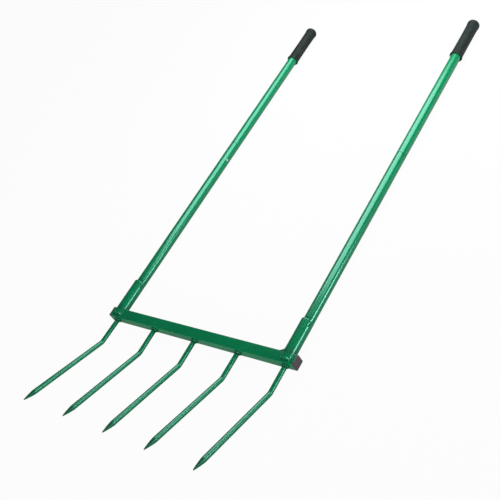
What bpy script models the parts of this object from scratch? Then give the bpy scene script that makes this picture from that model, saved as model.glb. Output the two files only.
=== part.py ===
"""Five-tine broadfork with two take-apart handles, lying on its back.

Frame: +X runs along the crossbar, +Y up the handles, +Z out of the fork's
front, the side that its tines lean towards.  The origin is the middle of the
crossbar's back face, so the crossbar and the grips lie on the plane Z = 0.
Sizes are in metres.
"""

import math

import bmesh
import bpy
from mathutils import Matrix, Vector

MM = 0.001

# Fits
CLEARANCE = 0.3 * MM          # gap between pieces that touch
SLIDE_FIT = 0.3 * MM          # radial gap of a tube that pushes into another
EDGE_BREAK = 0.4 * MM         # chamfer on cut tube ends
POINT_MERGE = 0.001 * MM      # points closer than this are one point

# Crossbar: square steel tube
BAR_SIDE = 25.0 * MM
BAR_WALL = 2.0 * MM
BAR_OVERHANG = 21.0 * MM      # crossbar beyond the outer tines' centres
BAR_CORNER = 2.5 * MM

# End caps: moulded plugs in the crossbar's open ends
CAP_PLATE = 2.5 * MM
CAP_PLUG_DEPTH = 13.0 * MM
CAP_PLUG_WALL = 1.6 * MM
CAP_EDGE = 0.7 * MM

# Tines: bent round bar with a ground point
TINE_SPACING = 127.0 * MM
TINE_DIAMETER = 11.0 * MM
TINE_SWELL = 0.9 * MM         # extra diameter where the point starts
TINE_STRAIGHT = 67.0 * MM     # crossbar's underside to the corner of the bend
TINE_LOWER = 233.0 * MM       # corner of the bend to the point
TINE_BEND = math.radians(22.2)
TINE_LEANS = (-1.7, 0.5, 0.6, -0.6, 0.0)     # degrees to the right, one for each tine from the left
TINE_BEND_RADIUS = 24.0 * MM
TINE_POINT_LENGTH = 30.0 * MM
TINE_POINT_RADIUS = 0.9 * MM
TINE_POINT_BELLY = 0.5 * MM   # how far the point's sides bulge half way
ROOT_WELD_LEG = 3.6 * MM

# Handle sockets: tube with a lip that hangs over the crossbar's front
SOCKET_STEP = 1.8 * MM        # socket's radius beyond the handle's
SOCKET_WALL = 1.2 * MM
SOCKET_OFFSET = 2.5 * MM      # socket's axis in front of the handle's
SOCKET_HEIGHT = 80.5 * MM     # crossbar's top face to the rim
SOCKET_LIP = 17.0 * MM        # how far the lip hangs below the top face
SOCKET_LIP_ROUND = 4.5 * MM
SOCKET_LIP_POCKET = 1.0 * MM  # bore runs this far past the top face
FOOT_WELD_LEG = 3.0 * MM
INNER_WELD_LEG = 14.0 * MM    # right socket, on the side of the tines
FOOT_WELD_BITE = 0.7 * MM

# Handles: two lengths of round tube, both swaged below to plug in
HANDLE_DIAMETER = 25.0 * MM
HANDLE_WALL = 1.2 * MM
SEAM_HEIGHT = 569.0 * MM      # crossbar's centre line to the mid joint
HANDLE_TOP = 1035.0 * MM      # crossbar's centre line to the grip's end
SPIGOT_LENGTH = 82.0 * MM
SWAGE_TAPER = 3.0 * MM

# Key at the mid joint: a pip on the spigot in a notch in the rim
KEY_DIAMETER = 5.4 * MM
KEY_PROUD = 1.3 * MM

# Grips: moulded rubber sleeves with a closed, rounded end
GRIP_LENGTH = 129.0 * MM
GRIP_BODY_WALL = 2.3 * MM
GRIP_WAIST_WALL = 1.9 * MM
GRIP_GROOVE_WALL = 1.4 * MM
GRIP_FLANGE_WALL = 3.7 * MM
GRIP_FLANGE_LENGTH = 5.0 * MM
GRIP_GROOVE_LENGTH = 3.0 * MM
GRIP_HEAD_WALL = 3.1 * MM
GRIP_HEAD_LENGTH = 14.0 * MM
GRIP_END_ROUND = 8.0 * MM
GRIP_END_WALL = 4.0 * MM

# Lock buttons: oblong at the sockets, round at the mid joints
SOCKET_BUTTON_WIDTH = 6.4 * MM
SOCKET_BUTTON_LENGTH = 12.8 * MM
SOCKET_BUTTON_BELOW_RIM = 9.8 * MM
SOCKET_BUTTON_PROUD = -0.1 * MM
SOCKET_BUTTON_DISH = 1.2 * MM
SOCKET_BUTTON_AZIMUTH = math.radians(52.0)
MID_BUTTON_WIDTH = 6.0 * MM
MID_BUTTON_BELOW_SEAM = 59.0 * MM
MID_BUTTON_PROUD = 0.7 * MM
MID_BUTTON_AZIMUTH = math.radians(78.0)
BUTTON_FLANGE = 1.5 * MM      # how far the inner flange stands out all round
BUTTON_FLANGE_THICKNESS = 1.1 * MM
BUTTON_SHOULDER = 0.9 * MM    # width of the slope round the button's top
BUTTON_RIM = 0.4 * MM         # flat rim round a dished top

# Hairpin springs behind the buttons
SPRING_THICKNESS = 0.6 * MM
SPRING_WIDTH = 7.0 * MM
SPRING_REACH = 34.0 * MM      # button up to the spring's round end
SPRING_TAIL = 9.0 * MM        # legs below the button

# Roundness
TUBE_SEGMENTS = 36
TINE_SEGMENTS = 24
PIP_SEGMENTS = 16
BEND_STEPS = 5
ARC_STEPS = 4
HAIRPIN_STEPS = 8

# Sizes that follow from those above
GRIP_BORE = HANDLE_DIAMETER / 2 + CLEARANCE
HANDLE_AXIS_Z = GRIP_BORE + GRIP_FLANGE_WALL
TINE_COUNT = len(TINE_LEANS)
HANDLE_X = TINE_SPACING * (TINE_COUNT - 1) / 2
BAR_LENGTH = 2 * (HANDLE_X + BAR_OVERHANG)
BAR_TOP = BAR_SIDE / 2
BAR_TO_AXIS = HANDLE_AXIS_Z - BAR_SIDE / 2
HANDLE_RADIUS = HANDLE_DIAMETER / 2
HANDLE_BORE = HANDLE_RADIUS - HANDLE_WALL
SPIGOT_RADIUS = HANDLE_BORE - SLIDE_FIT
SPIGOT_BORE = SPIGOT_RADIUS - HANDLE_WALL
SOCKET_RADIUS = HANDLE_RADIUS + SOCKET_STEP
SOCKET_BORE = SOCKET_RADIUS - SOCKET_WALL
SOCKET_RIM = BAR_TOP + SOCKET_HEIGHT
FOOT_RADIUS = SOCKET_BORE - SOCKET_OFFSET - CLEARANCE
FOOT_BORE = FOOT_RADIUS - HANDLE_WALL
FOOT_END = BAR_TOP + CLEARANCE
GRIP_BOTTOM = HANDLE_TOP - GRIP_LENGTH
HANDLE_END = HANDLE_TOP - GRIP_END_WALL - CLEARANCE
KEY_HEIGHT = SEAM_HEIGHT - CLEARANCE - KEY_DIAMETER / 2
TINE_RADIUS = TINE_DIAMETER / 2

SIDES = {"left": -1.0, "right": 1.0}


def clear_scene():
    """Start from an empty scene."""
    for scene_object in list(bpy.data.objects):
        bpy.data.objects.remove(scene_object, do_unlink=True)


def make_material(name, colour, roughness, metallic=0.0):
    """A Principled material with one plain colour."""
    material = bpy.data.materials.new(name)
    material.use_nodes = True
    shader = material.node_tree.nodes["Principled BSDF"]
    shader.inputs["Base Color"].default_value = (*colour, 1.0)
    shader.inputs["Roughness"].default_value = roughness
    shader.inputs["Metallic"].default_value = metallic
    material.diffuse_color = (*colour, 1.0)
    return material


def make_object(name, bm, material=None, parent=None, placing=None, smooth_angle=40.0):
    """Turn a bmesh into a placed object, smooth where its faces meet gently."""
    bmesh.ops.remove_doubles(bm, verts=bm.verts, dist=POINT_MERGE)
    bmesh.ops.recalc_face_normals(bm, faces=bm.faces)
    limit = math.radians(smooth_angle)
    for face in bm.faces:
        face.smooth = True
    for edge in bm.edges:
        edge.smooth = edge.calc_face_angle(math.pi) < limit
    mesh = bpy.data.meshes.new(name)
    bm.to_mesh(mesh)
    bm.free()
    if material is not None:
        mesh.materials.append(material)
    new_object = bpy.data.objects.new(name, mesh)
    bpy.context.collection.objects.link(new_object)
    new_object.parent = parent
    if placing is not None:
        new_object.matrix_local = placing
    return new_object


def make_empty(name, placing, parent=None):
    """An empty that carries the pieces of one handle."""
    empty = bpy.data.objects.new(name, None)
    empty.empty_display_size = 0.05
    bpy.context.collection.objects.link(empty)
    empty.parent = parent
    empty.matrix_local = placing
    return empty


def as_tool(tool):
    """Hide a shape that only cuts or adds to another."""
    tool.hide_render = True
    tool.display_type = 'WIRE'
    return tool


def add_boolean(target, tool, operation='DIFFERENCE'):
    """Cut, join or trim the target with a tool shape."""
    modifier = target.modifiers.new(operation.title() + " " + tool.name, 'BOOLEAN')
    modifier.operation = operation
    modifier.solver = 'EXACT'
    modifier.object = tool
    return modifier


def arc(centre_a, centre_b, radius, start, end, steps):
    """Points of an arc in a plane, both ends included; angles in degrees."""
    points = []
    for step in range(steps + 1):
        angle = math.radians(start + (end - start) * step / steps)
        points.append((centre_a + radius * math.cos(angle), centre_b + radius * math.sin(angle)))
    return points


def revolve(profile, segments=TUBE_SEGMENTS, closed=False):
    """Spin a (radius, height) profile about Z; a closed one gives a ring."""
    bm = bmesh.new()
    verts = [bm.verts.new((radius, 0.0, height)) for radius, height in profile]
    edges = [bm.edges.new(pair) for pair in zip(verts, verts[1:])]
    if closed:
        edges.append(bm.edges.new((verts[-1], verts[0])))
    bmesh.ops.spin(
        bm, geom=verts + edges, cent=(0, 0, 0), axis=(0, 0, 1),
        angle=math.tau, steps=segments, use_duplicate=False,
    )
    return bm


def loft(sections):
    """Bridge a row of closed outlines with as many points each, and cap both ends."""
    bm = bmesh.new()
    loops = []
    for section in sections:
        verts = [bm.verts.new(point) for point in section]
        loops.append([bm.edges.new((verts[i - 1], verts[i])) for i in range(len(verts))])
    for near, far in zip(loops, loops[1:]):
        bmesh.ops.bridge_loops(bm, edges=near + far)
    bmesh.ops.holes_fill(bm, edges=loops[0] + loops[-1])
    return bm


def rounded_rectangle(width, height, radius, steps=ARC_STEPS):
    """Outline of a rectangle with round corners, centred on the origin."""
    points = []
    across, up = width / 2 - radius, height / 2 - radius
    for turn, (sign_a, sign_b) in enumerate(((1, 1), (-1, 1), (-1, -1), (1, -1))):
        points += arc(sign_a * across, sign_b * up, radius, 90 * turn, 90 * turn + 90, steps)
    return points


def oblong(width, length, steps=2 * ARC_STEPS):
    """Outline of a slot shape: width across, length along the second axis."""
    straight = (length - width) / 2
    if straight < POINT_MERGE:
        return arc(0, 0, width / 2, 0, 360, 2 * steps)[:-1]
    top = arc(0, straight, width / 2, 0, 180, steps)
    bottom = arc(0, -straight, width / 2, 180, 360, steps)
    return top + bottom


def raise_face(bm, face, rise):
    """Extrude a face along Z and return the face at its new height.

    A face of its own stays as the solid's bottom; one that tops a solid goes.
    """
    tops_a_solid = any(len(edge.link_faces) > 1 for edge in face.edges)
    extruded = bmesh.ops.extrude_face_region(bm, geom=[face])["geom"]
    raised = next(item for item in extruded if isinstance(item, bmesh.types.BMFace))
    bmesh.ops.translate(bm, verts=raised.verts, vec=(0, 0, rise))
    if tops_a_solid:
        bmesh.ops.delete(bm, geom=[face], context='FACES_ONLY')
    return raised


def prism(outline, bottom, top):
    """Extrude an outline of (x, y) points along Z."""
    bm = bmesh.new()
    face = bm.faces.new([bm.verts.new((x, y, bottom)) for x, y in outline])
    raise_face(bm, face, top - bottom)
    return bm


def block(size, centre):
    """A plain box."""
    bm = bmesh.new()
    placing = Matrix.Translation(centre) @ Matrix.Diagonal((*size, 1.0))
    bmesh.ops.create_cube(bm, size=1.0, matrix=placing)
    return bm


def radial_placing(azimuth, height):
    """Frame on a handle: Z points outwards, Y runs up the handle.

    Azimuth 0 is the fork's front, and it grows towards +X.  In a handle's own
    frame Z is its axis and the front is -Y.
    """
    outward = Vector((math.sin(azimuth), -math.cos(azimuth), 0.0))
    along = Vector((0.0, 0.0, 1.0))
    across = along.cross(outward)
    placing = Matrix((across, along, outward)).transposed().to_4x4()
    placing.translation = (0.0, 0.0, height)
    return placing


def tine_places():
    """X of each tine, from left to right."""
    middle = (TINE_COUNT - 1) / 2
    return [(index - middle) * TINE_SPACING for index in range(TINE_COUNT)]


def build_crossbar(material):
    """Square tube with a hole through its underside for each tine."""
    bore_side = BAR_SIDE - 2 * BAR_WALL
    bm = bmesh.new()
    edges = []
    for side, corner in ((BAR_SIDE, BAR_CORNER), (bore_side, BAR_CORNER - BAR_WALL / 2)):
        outline = rounded_rectangle(side, side, corner)
        verts = [bm.verts.new((-BAR_LENGTH / 2, a, b)) for a, b in outline]
        edges += [bm.edges.new((verts[i - 1], verts[i])) for i in range(len(verts))]
    wall = bmesh.ops.bridge_loops(bm, edges=edges)["faces"]
    extruded = bmesh.ops.extrude_face_region(bm, geom=wall, use_keep_orig=True)["geom"]
    far_end = [item for item in extruded if isinstance(item, bmesh.types.BMVert)]
    bmesh.ops.translate(bm, verts=far_end, vec=(BAR_LENGTH, 0, 0))
    placing = Matrix.Translation((0, 0, BAR_SIDE / 2))
    crossbar = make_object("crossbar", bm, material, placing=placing)

    hole = TINE_RADIUS + CLEARANCE
    for number, x in enumerate(tine_places(), 1):
        drill = revolve([(0, 0), (hole, 0), (hole, 2 * BAR_WALL), (0, 2 * BAR_WALL)], TINE_SEGMENTS)
        placing = Matrix.Translation((x, -BAR_SIDE / 2 + 1.5 * BAR_WALL, BAR_SIDE / 2))
        placing = placing @ Matrix.Rotation(math.radians(90), 4, 'X')
        add_boolean(crossbar, as_tool(make_object(f"tine_hole_{number}", drill, placing=placing)))


def build_end_cap(side, material):
    """Moulded plug: a plate over the tube's end and a hollow shank inside it."""
    shank_side = BAR_SIDE - 2 * BAR_WALL - 2 * CLEARANCE
    shank_corner = BAR_CORNER - BAR_WALL / 2
    hollow_side = shank_side - 2 * CAP_PLUG_WALL
    bm = prism(rounded_rectangle(BAR_SIDE, BAR_SIDE, BAR_CORNER), 0.0, CAP_PLATE)
    rim = [edge for edge in bm.edges if all(vert.co.z > CAP_PLATE / 2 for vert in edge.verts)]
    bmesh.ops.bevel(bm, geom=rim, offset=CAP_EDGE, segments=2, profile=0.5, affect='EDGES')
    turn = Matrix.Rotation(math.radians(90) * SIDES[side], 4, 'Y')
    start = Vector((SIDES[side] * (BAR_LENGTH / 2 + CLEARANCE), 0, BAR_SIDE / 2))
    placing = Matrix.Translation(start) @ turn
    cap = make_object(f"end_cap_{side}", bm, material, placing=placing)

    overlap = CAP_PLATE / 2
    shank = prism(rounded_rectangle(shank_side, shank_side, shank_corner), -CAP_PLUG_DEPTH, overlap)
    add_boolean(cap, as_tool(make_object(f"cap_shank_{side}", shank, placing=placing)), 'UNION')
    hollow = prism(rounded_rectangle(hollow_side, hollow_side, CAP_EDGE), -2 * CAP_PLUG_DEPTH, 0.0)
    add_boolean(cap, as_tool(make_object(f"cap_hollow_{side}", hollow, placing=placing)))


def tine_stations():
    """Centre, direction and radius of each ring along a tine, from the top.

    Heights are along Y from the crossbar's centre, depths along Z from it.
    """
    inner_top = BAR_SIDE / 2 - BAR_WALL - CLEARANCE
    underside = -BAR_SIDE / 2
    weld_top = underside - CLEARANCE
    corner = underside - TINE_STRAIGHT
    setback = TINE_BEND_RADIUS * math.tan(TINE_BEND / 2)
    down = Vector((0, -1, 0))
    stations = [
        (Vector((0, inner_top, 0)), down, TINE_RADIUS - EDGE_BREAK),
        (Vector((0, inner_top - EDGE_BREAK, 0)), down, TINE_RADIUS),
        (Vector((0, weld_top, 0)), down, TINE_RADIUS),
    ]
    # weld fillet round the root, hollow between crossbar and tine
    for reach, drop in arc(ROOT_WELD_LEG, ROOT_WELD_LEG, ROOT_WELD_LEG, 270, 180, ARC_STEPS):
        stations.append((Vector((0, weld_top - drop, 0)), down, TINE_RADIUS + reach))
    # bend towards the front
    centre = Vector((0, corner + setback, TINE_BEND_RADIUS))
    for step in range(BEND_STEPS + 1):
        angle = TINE_BEND * step / BEND_STEPS
        heading = Vector((0, -math.cos(angle), math.sin(angle)))
        inward = Vector((0, math.sin(angle), math.cos(angle)))
        stations.append((centre - inward * TINE_BEND_RADIUS, heading, TINE_RADIUS))
    heading = Vector((0, -math.cos(TINE_BEND), math.sin(TINE_BEND)))
    point = Vector((0, corner, 0)) + heading * TINE_LOWER
    shoulder_radius = TINE_RADIUS + TINE_SWELL / 2
    belly_radius = (shoulder_radius + TINE_POINT_RADIUS) / 2 + TINE_POINT_BELLY
    point_rings = (
        (TINE_POINT_LENGTH, shoulder_radius), (TINE_POINT_LENGTH / 2, belly_radius),
        (TINE_POINT_RADIUS, TINE_POINT_RADIUS), (0.0, TINE_POINT_RADIUS / 2),
    )
    for back, radius in point_rings:
        stations.append((point - heading * back, heading, radius))
    return stations


def build_tine(number, x, material):
    """Round bar, bent once and ground to a point, with its root weld."""
    weld_bottom = -BAR_SIDE / 2 - CLEARANCE - ROOT_WELD_LEG
    lean = math.tan(math.radians(TINE_LEANS[number - 1]))
    sections = []
    for centre, heading, radius in tine_stations():
        side = Vector((1, 0, 0))
        front = heading.cross(side)
        centre.x = lean * max(0.0, weld_bottom - centre.y)
        ring = []
        for step in range(TINE_SEGMENTS):
            angle = math.tau * step / TINE_SEGMENTS
            ring.append(centre + side * radius * math.cos(angle) + front * radius * math.sin(angle))
        sections.append(ring)
    placing = Matrix.Translation((x, 0, BAR_SIDE / 2))
    make_object(f"tine_{number}", loft(sections), material, placing=placing, smooth_angle=25.0)


def lock_slot(name, width, length, inner, outer, azimuth, height, parent):
    """Tool that cuts a button's hole through a tube wall."""
    outline = oblong(width + 2 * CLEARANCE, length + 2 * CLEARANCE)
    slot = prism(outline, inner, outer)
    return as_tool(make_object(name, slot, parent=parent, placing=radial_placing(azimuth, height)))


def build_socket(side, axis, slot, material):
    """Socket tube with a lip over the crossbar's front and a weld at its foot."""
    lip_bottom = BAR_TOP - SOCKET_LIP
    pocket = BAR_TOP - SOCKET_LIP_POCKET
    profile = [(0.0, lip_bottom)]
    profile += arc(
        SOCKET_RADIUS - SOCKET_LIP_ROUND, lip_bottom + SOCKET_LIP_ROUND,
        SOCKET_LIP_ROUND, 270, 360, ARC_STEPS,
    )
    profile += [
        (SOCKET_RADIUS, SOCKET_RIM - EDGE_BREAK), (SOCKET_RADIUS - EDGE_BREAK, SOCKET_RIM),
        (SOCKET_BORE + EDGE_BREAK, SOCKET_RIM), (SOCKET_BORE, SOCKET_RIM - EDGE_BREAK),
        (SOCKET_BORE, pocket), (0.0, pocket),
    ]
    forward = Matrix.Translation((0, -SOCKET_OFFSET, 0))
    socket = make_object(
        f"handle_socket_{side}", revolve(profile), material, parent=axis, placing=forward,
    )

    # weld fillets that spread along the crossbar's top face
    foot = BAR_TOP + CLEARANCE
    full_width = 8 * SOCKET_RADIUS
    fillets = [(FOOT_WELD_LEG, 0)]
    if side == "right":
        fillets.append((INNER_WELD_LEG, -full_width / 2))
    for number, (leg, land_x) in enumerate(fillets, 1):
        # the seat trims the bottom; each fillet bites in less, so that no two surfaces coincide
        inner = SOCKET_RADIUS - FOOT_WELD_BITE / number
        bottom = foot - number * CLEARANCE
        ring = [(inner, bottom), (SOCKET_RADIUS + leg, bottom)]
        ring += arc(SOCKET_RADIUS + leg, foot + leg, leg, 270, 180, ARC_STEPS)
        ring += [(inner, foot + leg)]
        weld = make_object(
            f"foot_weld_{side}_{number}", revolve(ring, closed=True), parent=axis, placing=forward,
        )
        land = block(
            (full_width, BAR_SIDE - 2 * BAR_CORNER, 4 * leg), (land_x, BAR_TO_AXIS, foot),
        )
        land = as_tool(make_object(f"foot_land_{side}_{number}", land, parent=axis))
        add_boolean(weld, land, 'INTERSECT')
        add_boolean(socket, as_tool(weld), 'UNION')

    gap = 2 * CLEARANCE
    seat = block((full_width, BAR_SIDE + gap, BAR_SIDE + gap), (0, BAR_TO_AXIS, 0))
    add_boolean(socket, as_tool(make_object(f"socket_seat_{side}", seat, parent=axis)))
    add_boolean(socket, slot)


def build_lower_handle(side, axis, slots, key_azimuth, material):
    """Tube from the crossbar to the mid joint, swaged down inside the socket."""
    edge = EDGE_BREAK
    top = SEAM_HEIGHT - CLEARANCE
    shoulder = SOCKET_RIM + CLEARANCE
    profile = [
        (FOOT_BORE + edge, FOOT_END), (FOOT_RADIUS - edge, FOOT_END),
        (FOOT_RADIUS, FOOT_END + edge), (FOOT_RADIUS, shoulder),
        (HANDLE_RADIUS - edge, shoulder), (HANDLE_RADIUS, shoulder + edge),
        (HANDLE_RADIUS, top - edge), (HANDLE_RADIUS - edge, top),
        (HANDLE_BORE + edge, top), (HANDLE_BORE, top - edge),
        (HANDLE_BORE, shoulder + 2 * SWAGE_TAPER), (FOOT_BORE, shoulder + SWAGE_TAPER),
        (FOOT_BORE, FOOT_END + edge),
    ]
    handle = make_object(f"lower_handle_{side}", revolve(profile, closed=True), material, parent=axis)
    for slot in slots:
        add_boolean(handle, slot)
    width = KEY_DIAMETER + 2 * CLEARANCE
    outline = oblong(width, 2 * KEY_DIAMETER + 2 * CLEARANCE)
    notch = prism(outline, HANDLE_BORE / 2, 2 * HANDLE_RADIUS)
    placing = radial_placing(key_azimuth, KEY_HEIGHT + KEY_DIAMETER / 2)
    tool = make_object(f"key_notch_{side}", notch, parent=axis, placing=placing)
    add_boolean(handle, as_tool(tool))


def build_upper_handle(side, axis, slot, key_azimuth, material):
    """Tube from the mid joint into the grip, swaged down below the joint."""
    edge = EDGE_BREAK
    bottom = SEAM_HEIGHT - SPIGOT_LENGTH
    profile = [
        (SPIGOT_BORE + edge, bottom), (SPIGOT_RADIUS - edge, bottom),
        (SPIGOT_RADIUS, bottom + edge), (SPIGOT_RADIUS, SEAM_HEIGHT),
        (HANDLE_RADIUS - edge, SEAM_HEIGHT), (HANDLE_RADIUS, SEAM_HEIGHT + edge),
        (HANDLE_RADIUS, HANDLE_END - edge), (HANDLE_RADIUS - edge, HANDLE_END),
        (HANDLE_BORE + edge, HANDLE_END), (HANDLE_BORE, HANDLE_END - edge),
        (HANDLE_BORE, SEAM_HEIGHT + 2 * SWAGE_TAPER), (SPIGOT_BORE, SEAM_HEIGHT + SWAGE_TAPER),
        (SPIGOT_BORE, bottom + edge),
    ]
    handle = make_object(f"upper_handle_{side}", revolve(profile, closed=True), material, parent=axis)
    pip_radius = KEY_DIAMETER / 2
    inside = SPIGOT_RADIUS - HANDLE_WALL / 2
    shoulder = SPIGOT_RADIUS + KEY_PROUD / 2
    top = SPIGOT_RADIUS + KEY_PROUD
    pip_profile = [
        (0, inside), (pip_radius, inside), (pip_radius, shoulder),
        (pip_radius - KEY_PROUD / 2, top), (0, top),
    ]
    pip = revolve(pip_profile, PIP_SEGMENTS)
    placing = radial_placing(key_azimuth, KEY_HEIGHT)
    tool = make_object(f"key_pip_{side}", pip, parent=axis, placing=placing)
    add_boolean(handle, as_tool(tool), 'UNION')
    add_boolean(handle, slot)


def build_grip(side, axis, material):
    """Rubber sleeve: flange, groove, slightly waisted body, rounded head."""
    flange_round = GRIP_FLANGE_LENGTH / 2
    flange_inner = GRIP_BORE + GRIP_FLANGE_WALL - flange_round
    body_radius = GRIP_BORE + GRIP_BODY_WALL
    groove_radius = GRIP_BORE + GRIP_GROOVE_WALL
    head_radius = GRIP_BORE + GRIP_HEAD_WALL
    groove = GRIP_BOTTOM + GRIP_FLANGE_LENGTH + EDGE_BREAK
    body_start = groove + GRIP_GROOVE_LENGTH
    head_start = HANDLE_TOP - GRIP_HEAD_LENGTH
    middle = (body_start + head_start) / 2
    closed_end = HANDLE_TOP - GRIP_END_WALL
    profile = [(0.0, closed_end), (GRIP_BORE, closed_end), (GRIP_BORE, GRIP_BOTTOM)]
    profile += arc(flange_inner, GRIP_BOTTOM + flange_round, flange_round, 270, 450, ARC_STEPS)
    profile += [
        (groove_radius, groove), (groove_radius, body_start - EDGE_BREAK),
        (body_radius, body_start + 2 * EDGE_BREAK), (GRIP_BORE + GRIP_WAIST_WALL, middle),
        (body_radius, head_start - 2 * EDGE_BREAK), (head_radius, head_start + 2 * EDGE_BREAK),
    ]
    profile += arc(
        head_radius - GRIP_END_ROUND, HANDLE_TOP - GRIP_END_ROUND,
        GRIP_END_ROUND, 0, 90, ARC_STEPS + 1,
    )
    profile += [(0.0, HANDLE_TOP)]
    make_object(f"grip_{side}", revolve(profile), material, parent=axis)


def build_button(name, width, length, tube_bore, top, dish, azimuth, height, axis, material):
    """Lock button with a flange that keeps it inside the tube.

    Its top is dished for a fingertip where dish is more than nothing.
    """
    spread = 2 * BUTTON_FLANGE
    flange_top = math.sqrt(tube_bore ** 2 - (width / 2 + BUTTON_FLANGE) ** 2) - CLEARANCE
    flange_bottom = flange_top - BUTTON_FLANGE_THICKNESS
    outline = oblong(width + spread, length + spread)
    bm = bmesh.new()
    face = bm.faces.new([bm.verts.new((x, y, flange_bottom)) for x, y in outline])
    face = raise_face(bm, face, BUTTON_FLANGE_THICKNESS)
    bmesh.ops.inset_region(bm, faces=[face], thickness=BUTTON_FLANGE, use_even_offset=True)
    if dish > 0:
        face = raise_face(bm, face, top - flange_top)
        bmesh.ops.inset_region(bm, faces=[face], thickness=BUTTON_RIM, use_even_offset=True)
        steps = (BUTTON_SHOULDER, -dish)
    else:
        face = raise_face(bm, face, top - BUTTON_SHOULDER - flange_top)
        steps = (BUTTON_SHOULDER, BUTTON_SHOULDER)
    bmesh.ops.inset_region(
        bm, faces=[face], thickness=steps[0], depth=steps[1], use_even_offset=True,
    )
    make_object(name, bm, material, parent=axis, placing=radial_placing(azimuth, height))
    return flange_bottom


def build_spring(name, bearing, tube_bore, azimuth, height, axis, material):
    """Hairpin leaf spring: one leg behind the button, one on the far wall."""
    half = SPRING_THICKNESS / 2
    near = bearing - CLEARANCE - half
    far = math.sqrt(tube_bore ** 2 - (SPRING_WIDTH / 2) ** 2) - CLEARANCE - half
    round_radius = (near + far) / 2 - SPRING_THICKNESS
    round_centre = (near - far) / 2
    path = [(-SPRING_TAIL, near), (SPRING_TAIL, near)]
    path += arc(SPRING_REACH, round_centre, round_radius, 90, -90, HAIRPIN_STEPS)
    path += [(SPRING_TAIL, -far), (-SPRING_TAIL, -far)]
    sections = []
    for index, (along, out) in enumerate(path):
        before = Vector(path[max(index - 1, 0)])
        after = Vector(path[min(index + 1, len(path) - 1)])
        heading = (after - before).normalized()
        normal = Vector((-heading.y, heading.x)) * half
        corners = []
        for across, side in ((-1, -1), (1, -1), (1, 1), (-1, 1)):
            corners.append(Vector((
                across * SPRING_WIDTH / 2, along + side * normal.x, out + side * normal.y,
            )))
        sections.append(corners)
    placing = radial_placing(azimuth, height)
    make_object(name, loft(sections), material, parent=axis, placing=placing, smooth_angle=30.0)


def build_handle(side, materials):
    """One socket with its two handle tubes, grip, lock buttons and springs."""
    placing = Matrix.Translation((SIDES[side] * HANDLE_X, 0, HANDLE_AXIS_Z))
    placing = placing @ Matrix.Rotation(math.radians(-90), 4, 'X')
    axis = make_empty(f"handle_axis_{side}", placing)

    # the right handle's upper parts are turned half a turn from the left's
    mid_azimuth = MID_BUTTON_AZIMUTH + (math.pi if side == "right" else 0.0)
    key_azimuth = mid_azimuth + math.pi
    socket_height = SOCKET_RIM - SOCKET_BUTTON_BELOW_RIM
    mid_height = SEAM_HEIGHT - MID_BUTTON_BELOW_SEAM

    socket_slot = lock_slot(
        f"socket_slot_{side}", SOCKET_BUTTON_WIDTH, SOCKET_BUTTON_LENGTH,
        FOOT_BORE / 2, 2 * SOCKET_RADIUS, SOCKET_BUTTON_AZIMUTH, socket_height, axis,
    )
    mid_slot = lock_slot(
        f"mid_slot_{side}", MID_BUTTON_WIDTH, MID_BUTTON_WIDTH,
        SPIGOT_BORE / 2, 2 * HANDLE_RADIUS, mid_azimuth, mid_height, axis,
    )
    build_socket(side, axis, socket_slot, materials["socket"])
    build_lower_handle(side, axis, (socket_slot, mid_slot), key_azimuth, materials["handle"])
    build_upper_handle(side, axis, mid_slot, key_azimuth, materials["handle"])
    build_grip(side, axis, materials["grip"])

    # distance from the handle's axis to the socket's skin, along the button
    aside = SOCKET_OFFSET * math.sin(SOCKET_BUTTON_AZIMUTH)
    skin = SOCKET_OFFSET * math.cos(SOCKET_BUTTON_AZIMUTH)
    skin += math.sqrt(SOCKET_RADIUS ** 2 - aside ** 2)
    bearing = build_button(
        f"socket_button_{side}", SOCKET_BUTTON_WIDTH, SOCKET_BUTTON_LENGTH, FOOT_BORE,
        skin + SOCKET_BUTTON_PROUD, SOCKET_BUTTON_DISH, SOCKET_BUTTON_AZIMUTH,
        socket_height, axis, materials["button"],
    )
    build_spring(
        f"socket_button_spring_{side}", bearing, FOOT_BORE, SOCKET_BUTTON_AZIMUTH,
        socket_height, axis, materials["spring"],
    )
    bearing = build_button(
        f"mid_button_{side}", MID_BUTTON_WIDTH, MID_BUTTON_WIDTH, SPIGOT_BORE,
        HANDLE_RADIUS + MID_BUTTON_PROUD, 0.0, mid_azimuth, mid_height, axis,
        materials["button"],
    )
    build_spring(
        f"mid_button_spring_{side}", bearing, SPIGOT_BORE, mid_azimuth, mid_height, axis,
        materials["spring"],
    )


def main():
    """Build the fork, piece by piece."""
    clear_scene()
    green = (0.004, 0.162, 0.070)
    materials = {
        "bar": make_material("crossbar_paint", green, 0.32),
        "tine": make_material("tine_paint", green, 0.34),
        "socket": make_material("socket_paint", green, 0.32),
        "handle": make_material("handle_paint", green, 0.26),
        "cap": make_material("cap_plastic", (0.060, 0.047, 0.062), 0.50),
        "grip": make_material("grip_rubber", (0.030, 0.040, 0.037), 0.62),
        "button": make_material("button_steel", (0.42, 0.50, 0.45), 0.35, 1.0),
        "spring": make_material("spring_steel", (0.30, 0.30, 0.31), 0.35, 1.0),
    }
    build_crossbar(materials["bar"])
    for side in SIDES:
        build_end_cap(side, materials["cap"])
    for number, x in enumerate(tine_places(), 1):
        build_tine(number, x, materials["tine"])
    for side in SIDES:
        build_handle(side, materials)


main()
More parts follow.
